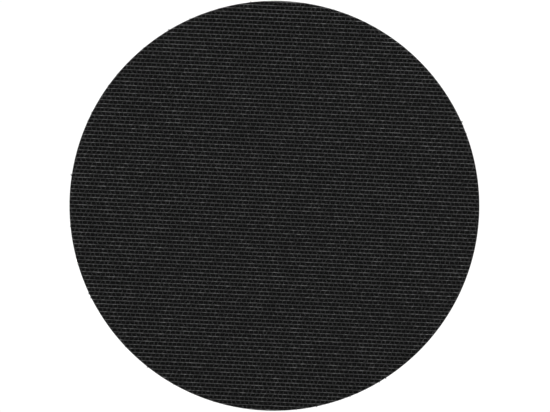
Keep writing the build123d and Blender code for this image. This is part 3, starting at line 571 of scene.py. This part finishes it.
def glass_filled_nylon():
    nylon = Surface("glass_filled_nylon", (0.1, 0.1, 0.105), 0.5)
    fleck = nylon.mixed(nylon.noise(25, 4), nylon.mixed(nylon.noise(1300, 2), 0.5), "ADD")
    nylon.colour(fleck, 0.5, 1.0, (0.078, 0.079, 0.083), (0.1, 0.101, 0.105), (0.128, 0.129, 0.133))
    nylon.rough(nylon.noise(420, 3), 0.4, 0.64)
    nylon.bump(nylon.cells(1300), 0.1 * MM, 0.65)
    nylon.parting_line()
    paint(nylon.material, "motor_housing")
    dial_marks(nylon.material)


def black_moulding():
    black = Surface("black_moulding", (0.022, 0.022, 0.022), 0.42)
    black.colour(black.noise(70, 3), *NOISE_SPAN, (0.018, 0.018, 0.018), (0.03, 0.03, 0.03))
    black.rough(black.noise(600, 3), 0.34, 0.52)
    black.bump(black.noise(1500, 2), 0.03 * MM, 0.5)
    paint(black.material, "speed_dial", "muffler_sleeve", "muffler_cap")


def grip_rubber():
    """Pebbled rubber, with a painted highlight on the top of each pebble and painted shade between them."""
    rubber = Surface("grip_rubber", (0.024, 0.024, 0.025), 0.68, specular=0.35)
    pebbles = rubber.mixed(1.0, rubber.cells(950, "SMOOTH_F1"), "SUBTRACT")
    # The colour rises with each pebble's height: painted highlight on the tops, painted shade in the gaps.
    tone = rubber.mixed(rubber.noise(40, 4), rubber.mixed(pebbles, 0.4), "ADD")
    rubber.colour(tone, 0.5, 0.95, (0.012, 0.012, 0.013), (0.023, 0.023, 0.024), (0.034, 0.034, 0.035))
    rubber.rough(rubber.noise(260, 3), 0.58, 0.8)
    rubber.bump(pebbles, 0.42 * MM, 0.85)
    rubber.parting_line()
    paint(rubber.material, "palm_grip")


def skirt_rubber():
    skirt = Surface("skirt_rubber", (0.018, 0.018, 0.018), 0.6, specular=0.3)
    skirt.colour(skirt.noise(90, 4), *NOISE_SPAN, (0.013, 0.013, 0.013), (0.024, 0.024, 0.024))
    skirt.rough(skirt.noise(400, 3), 0.5, 0.72)
    skirt.bump(skirt.noise(1100, 3), 0.12 * MM, 0.7)
    paint(skirt.material, "pad_skirt")


def seal_rubber():
    seal = Surface("seal_rubber", (0.015, 0.015, 0.015), 0.4)
    seal.mottled(400, 0.25)
    seal.rough(seal.noise(500, 2), 0.34, 0.5)
    paint(seal.material, "inlet_seal", "stem_seal", "dial_seal")


def porous_felt():
    felt = Surface("porous_felt", (0.5, 0.48, 0.44), 0.95, specular=0.1)
    fibres = felt.noise(1800, 4)
    felt.colour(fibres, *NOISE_SPAN, (0.34, 0.32, 0.29), (0.6, 0.58, 0.53))
    felt.bump(fibres, 0.2 * MM)
    paint(felt.material, "muffler_core")


def cloth_laminate():
    laminate = Surface("cloth_laminate", (0.17, 0.09, 0.045), 0.55)
    plies = laminate.wave(900, "Z", distortion=2)
    laminate.colour(plies, 0.2, 0.8, (0.12, 0.06, 0.03), (0.22, 0.13, 0.07))
    paint(laminate.material, "rotor_vanes")


def dress_nodes():
    """Every surface of the nodes that are carried over from the CAD, pad first."""
    woven_glass()
    zinc_plate()
    rivet_metal()
    black_oxide_steel()
    ground_steel()
    turned_steel()
    turned_aluminium()
    nickel_plate()
    turned_brass()
    stainless_steel()
    brushed_lever()
    glass_filled_nylon()
    black_moulding()
    grip_rubber()
    skirt_rubber()
    seal_rubber()
    porous_felt()
    cloth_laminate()


# --- Small pieces that the CAD leaves plain -----------------------------------------------------------
def inlet_thread(material):
    """The female pipe thread: one ridge that winds in from the bushing's mouth."""
    low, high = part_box("inlet_bushing")
    centre_y, centre_z = (low.y + high.y) / 2, (low.z + high.z) / 2
    pitch, wall = 1.411 * MM, 6.25 * MM
    lead_in, half_width, half_height = 1.2 * MM, 0.45 * pitch, 0.42 * MM
    turns, per_turn, fading = 7, 48, 24
    steps = turns * per_turn
    path, across, up = [], [], []
    for step in range(steps + 1):
        angle = 2 * math.pi * step / per_turn
        # The ridge runs out to a twentieth of its height over the first and last half turn
        grow = min(1.0, step / fading, (steps - step) / fading) * 0.95 + 0.05
        out = np.array((0.0, math.cos(angle), math.sin(angle)))
        x = high.x - lead_in - pitch * step / per_turn
        path.append(np.array((x, centre_y, centre_z)) + out * wall)
        across.append(np.array((half_width, 0.0, 0.0)))
        up.append(out * half_height * grow)
    points, faces = strand(path, across, up, sides=4)
    piece_from("inlet_thread", points.tolist(), faces, material, "housing", sharp=20)


def cone_spring(material):
    """The spring behind the tip valve; the real one shortens as the valve is tipped."""
    low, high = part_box("valve_spring")
    bushing_low, bushing_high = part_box("inlet_bushing")
    middle = (bushing_low + bushing_high) / 2
    wire, narrow, wide = 0.3 * MM, 2.3 * MM, 6.7 * MM
    turns, per_turn = 3, 40
    path, across, up = [], [], []
    for share in np.linspace(0, 1, turns * per_turn + 1):
        angle = 2 * math.pi * turns * share
        out = np.array((0.0, math.cos(angle), math.sin(angle)))
        x = low.x + wire + (high.x - low.x - 2 * wire) * share
        path.append(np.array((x, middle.y, middle.z)) + out * (narrow + (wide - narrow) * share))
        across.append(np.array((wire, 0.0, 0.0)))
        up.append(out * wire)
    points, faces = strand(path, across, up, sides=10)
    spring = piece_from("cone_spring", points.tolist(), faces, material, "housing", sharp=60)
    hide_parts("valve_spring")
    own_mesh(spring)


def dial_marks(material):
    """Five raised pips beside the dial, each longer than the last, over the quarter turn that it makes."""
    low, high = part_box("speed_dial")
    wall_y = low.y + 6.4 * MM
    middle = np.array(((low.x + high.x) / 2, wall_y, (low.z + high.z) / 2))
    marks, inner, shortest, growth = 5, 9.9 * MM, 0.8 * MM, 0.45 * MM
    half_width, height = 0.42 * MM, 0.32 * MM
    swell = (0.35, 0.9, 1.0, 0.9, 0.35)  # each pip is drawn in at both ends
    for number in range(marks):
        angle = math.radians(90 - 90 * number / (marks - 1))
        way = np.array((math.cos(angle), 0.0, math.sin(angle)))
        side = np.array((-math.sin(angle), 0.0, math.cos(angle)))
        outer = inner + shortest + growth * number
        path = [middle + way * distance for distance in np.linspace(inner, outer, len(swell))]
        across = [side * half_width * share for share in swell]
        up = [np.array((0.0, height * share, 0.0)) for share in swell]
        points, faces = strand(path, across, up, sides=8)
        piece_from(f"dial_mark_{number + 1}", points.tolist(), faces, material, "housing",
                   sharp=60)


# --- Stage, lights and camera -------------------------------------------------------------------------
def floor_material():
    """Pale near the object, fading to white further out, and clear from below."""
    material = bpy.data.materials.new("pale_floor")
    material.use_nodes = True
    pale_to, white_from = 0.16, 0.8
    tree = material.node_tree
    shader = tree.nodes["Principled BSDF"]
    shader.inputs["Base Color"].default_value = (0.43, 0.43, 0.428, 1)
    shader.inputs["Roughness"].default_value = 0.8
    white = tree.nodes.new("ShaderNodeEmission")
    centre = tree.nodes.new("ShaderNodeTexCoord")
    distance = tree.nodes.new("ShaderNodeVectorMath")
    distance.operation = "LENGTH"
    fade = tree.nodes.new("ShaderNodeMapRange")
    fade.interpolation_type = "SMOOTHSTEP"
    fade.inputs["From Min"].default_value = pale_to
    fade.inputs["From Max"].default_value = white_from
    far = tree.nodes.new("ShaderNodeMixShader")
    tree.links.new(centre.outputs["Object"], distance.inputs[0])
    tree.links.new(distance.outputs["Value"], fade.inputs["Value"])
    tree.links.new(fade.outputs["Result"], far.inputs["Fac"])
    tree.links.new(shader.outputs["BSDF"], far.inputs[1])
    tree.links.new(white.outputs["Emission"], far.inputs[2])
    clear = tree.nodes.new("ShaderNodeBsdfTransparent")
    side = tree.nodes.new("ShaderNodeNewGeometry")
    choice = tree.nodes.new("ShaderNodeMixShader")
    tree.links.new(side.outputs["Backfacing"], choice.inputs["Fac"])
    tree.links.new(far.outputs["Shader"], choice.inputs[1])
    tree.links.new(clear.outputs["BSDF"], choice.inputs[2])
    tree.links.new(choice.outputs["Shader"], tree.nodes["Material Output"].inputs["Surface"])
    return material


def floor():
    """A pale floor that fades to white all round, and that is only there from above."""
    size, level = 3.0, -0.3 * MM
    mesh = bpy.data.meshes.new("floor")
    corners = [(-size, -size, level), (size, -size, level), (size, size, level), (-size, size, level)]
    mesh.from_pydata(corners, [], [(0, 1, 2, 3)])
    plane = bpy.data.objects.new("floor", mesh)
    bpy.context.scene.collection.objects.link(plane)
    mesh.materials.append(floor_material())
    plane.visible_diffuse = False
    plane.visible_glossy = False
    plane.visible_transmission = False
    plane.visible_shadow = False


def world():
    """White behind everything, and a softer grey that lights the object."""
    sky = bpy.data.worlds.new("studio")
    bpy.context.scene.world = sky
    sky.use_nodes = True
    tree = sky.node_tree
    backdrop = tree.nodes["Background"]
    backdrop.inputs["Color"].default_value = (1, 1, 1, 1)
    backdrop.inputs["Strength"].default_value = 1.05
    fill = tree.nodes.new("ShaderNodeBackground")
    fill.inputs["Color"].default_value = (0.98, 0.99, 1, 1)
    fill.inputs["Strength"].default_value = 0.35
    seen = tree.nodes.new("ShaderNodeLightPath")
    choice = tree.nodes.new("ShaderNodeMixShader")
    tree.links.new(seen.outputs["Is Camera Ray"], choice.inputs["Fac"])
    tree.links.new(fill.outputs["Background"], choice.inputs[1])
    tree.links.new(backdrop.outputs["Background"], choice.inputs[2])
    tree.links.new(choice.outputs["Shader"], tree.nodes["World Output"].inputs["Surface"])


def area_light(name, place, aim, size, power):
    light = bpy.data.lights.new(name, "AREA")
    light.shape = "DISK"
    light.size = size
    light.energy = power
    lamp = bpy.data.objects.new(name, light)
    lamp.location = place
    lamp.rotation_euler = (Vector(aim) - Vector(place)).to_track_quat("-Z", "Y").to_euler()
    bpy.context.scene.collection.objects.link(lamp)


def lights():
    middle = (0, 0, 45 * MM)
    area_light("key", (0.55, -0.75, 0.95), middle, size=0.6, power=14)
    area_light("fill", (-0.85, -0.45, 0.6), middle, size=0.8, power=9)
    area_light("back", (-0.25, 0.95, 0.75), middle, size=0.6, power=11)
    area_light("face_left", (0.75, 0.35, -0.75), (0, 0, 0), size=0.5, power=8.3)
    area_light("face_right", (-0.75, 0.35, -0.75), (0, 0, 0), size=0.5, power=8.2)


def camera():
    """Straight below, looking up square at the hook face."""
    distance, seen_width = 0.9, 200.9 * MM
    aside, below = 0.22 * MM, 0.07 * MM  # the disc stands a little off the frame's middle
    lens = bpy.data.cameras.new("camera")
    lens.sensor_width = 36
    lens.lens = lens.sensor_width * distance / seen_width
    lens.clip_start = 0.01
    stand = bpy.data.objects.new("camera", lens)
    stand.location = (-aside, -below, -distance)
    stand.rotation_euler = (0, math.pi, 0)
    bpy.context.scene.collection.objects.link(stand)
    bpy.context.scene.camera = stand


camera()
hook_tape()
foam_cushion()
dress_nodes()
floor()
world()
lights()
bpy.context.scene.view_settings.view_transform = "Standard"
